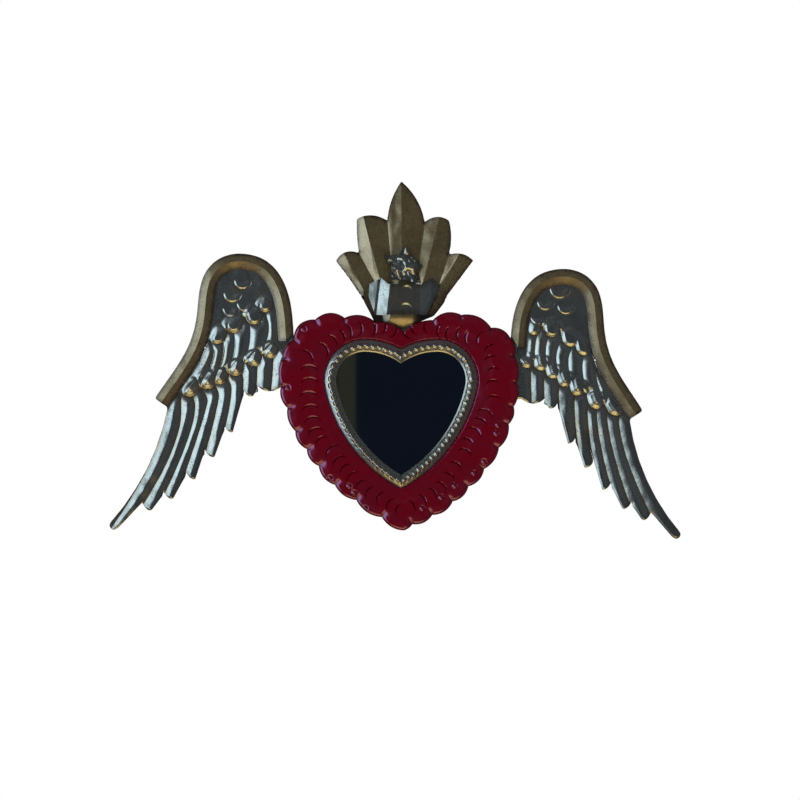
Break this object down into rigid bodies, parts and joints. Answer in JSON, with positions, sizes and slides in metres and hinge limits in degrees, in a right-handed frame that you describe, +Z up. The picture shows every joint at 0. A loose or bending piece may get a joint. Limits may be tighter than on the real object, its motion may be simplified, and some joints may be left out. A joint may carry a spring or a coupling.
{
  "type": "wall mirror",
  "caption": "Heart-shaped wall mirror in a red embossed tin frame with feathered tin wings, a crown of flames and a hanging ring at the back.",
  "frame": {"origin": "on the wall side of the back pan, behind the middle of the mirror glass", "axes": "+Z up, +X to the viewer's right from the front, the front faces -Y and +Y points into the wall"},
  "size_m": [0.4578, 0.0119, 0.2863],
  "materials": {
    "red_enamel": "deep glossy crimson enamel over embossed tin",
    "beaded_tin": "beaded tin strip with dark patina between the beads",
    "mirror_glass": "clear silvered glass",
    "card": "plain brown card",
    "plain_tin": "plain dull tin with light spotting",
    "aged_tin": "aged embossed tin, speckled, with amber lacquer in the recesses",
    "bronzed_tin": "bronze-gold lacquer with dark reddish edges",
    "hanger_wire": "dull steel wire",
    "solder": "matt grey solder"
  },
  "bodies": {
    "frame": {"heart_frame": "red_enamel", "bezel_left": "beaded_tin", "bezel_right": "beaded_tin", "mirror_glass": "mirror_glass", "backing_card": "card", "back_pan": "plain_tin", "left_wing": "aged_tin", "right_wing": "aged_tin", "left_wing_rim": "bronzed_tin", "right_wing_rim": "bronzed_tin", "crown_flames": "bronzed_tin", "crown_band": "aged_tin", "crown_star": "aged_tin", "crown_strut": "plain_tin", "hanger_strap": "plain_tin", "pan_solder": "solder", "left_wing_solder": "solder", "right_wing_solder": "solder", "crown_solder": "solder", "hanger_solder": "solder"},
    "ring": {"hanger_ring": "hanger_wire"}
  },
  "joints": [
    {"name": "hanger_ring_swing", "type": "hinge", "parent": "frame", "child": "ring", "pos_m": [0, -0.00215, 0.066], "axis": [1, 0, 0], "range_deg": [0, 180]}
  ]
}
